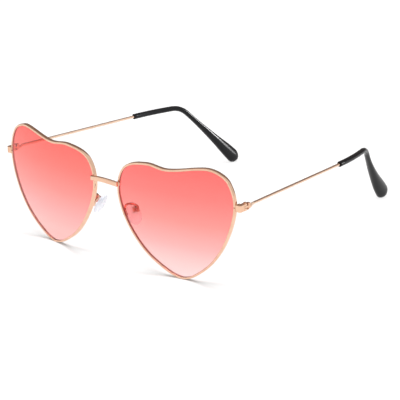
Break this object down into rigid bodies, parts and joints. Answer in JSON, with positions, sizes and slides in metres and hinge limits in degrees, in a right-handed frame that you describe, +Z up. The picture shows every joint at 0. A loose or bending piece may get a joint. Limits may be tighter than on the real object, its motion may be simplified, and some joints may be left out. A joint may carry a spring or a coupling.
{
  "type": "sunglasses",
  "caption": "Heart shaped sunglasses: thin rose gold metal frame, pink gradient lenses, clear nose pads, folding wire temples with black ear tips.",
  "frame": {"origin": "on the surface that the open glasses stand on, under the middle of their length and width", "axes": "+X to the wearer's left, +Y from the front back to the ear tips, +Z up; the front faces -Y"},
  "size_m": [0.139, 0.1456, 0.0529],
  "materials": {
    "frame_gold": "polished rose gold plating",
    "hinge_gold": "polished rose gold plating on small stamped parts",
    "screw_metal": "plated turned screw",
    "lens_tint": "clear moulded lens tinted coral pink, fading to nearly clear at the bottom",
    "pad_silicone": "clear soft silicone",
    "pad_core": "clear moulded core",
    "tip_black": "gloss black moulded sleeve"
  },
  "bodies": {
    "front": {"rim_left": "frame_gold", "rim_right": "frame_gold", "lens_left": "lens_tint", "lens_right": "lens_tint", "bridge": "frame_gold", "end_piece_left": "hinge_gold", "end_piece_right": "hinge_gold", "lock_upper_left": "hinge_gold", "lock_upper_right": "hinge_gold", "lock_lower_left": "hinge_gold", "lock_lower_right": "hinge_gold", "lock_screw_left": "screw_metal", "lock_screw_right": "screw_metal", "hinge_leaf_left": "hinge_gold", "hinge_leaf_right": "hinge_gold", "hinge_screw_left": "screw_metal", "hinge_screw_right": "screw_metal", "pad_arm_left": "frame_gold", "pad_arm_right": "frame_gold", "pad_box_left": "hinge_gold", "pad_box_right": "hinge_gold", "pad_screw_left": "screw_metal", "pad_screw_right": "screw_metal"},
    "left_temple": {"temple_leaf_left": "hinge_gold", "temple_wire_left": "frame_gold", "ear_tip_left": "tip_black"},
    "right_temple": {"temple_leaf_right": "hinge_gold", "temple_wire_right": "frame_gold", "ear_tip_right": "tip_black"},
    "left_pad": {"pad_insert_left": "pad_core", "nose_pad_left": "pad_silicone"},
    "right_pad": {"pad_insert_right": "pad_core", "nose_pad_right": "pad_silicone"}
  },
  "joints": [
    {"name": "left_temple_fold", "type": "hinge", "parent": "front", "child": "left_temple", "pos_m": [0.06851, -0.05845, 0.03739], "axis": [0, 0, 1], "range_deg": [0, 80]},
    {"name": "right_temple_fold", "type": "hinge", "parent": "front", "child": "right_temple", "pos_m": [-0.06851, -0.05845, 0.03739], "axis": [0, 0, -1], "range_deg": [0, 73]},
    {"name": "left_pad_rock", "type": "hinge", "parent": "front", "child": "left_pad", "pos_m": [0.0116, -0.06382, 0.02581], "axis": [0.3047, 0.9493, -0.0767], "range_deg": [-10, 10]},
    {"name": "right_pad_rock", "type": "hinge", "parent": "front", "child": "right_pad", "pos_m": [-0.0116, -0.06382, 0.02581], "axis": [0.3047, -0.9493, 0.0767], "range_deg": [-10, 10]}
  ]
}
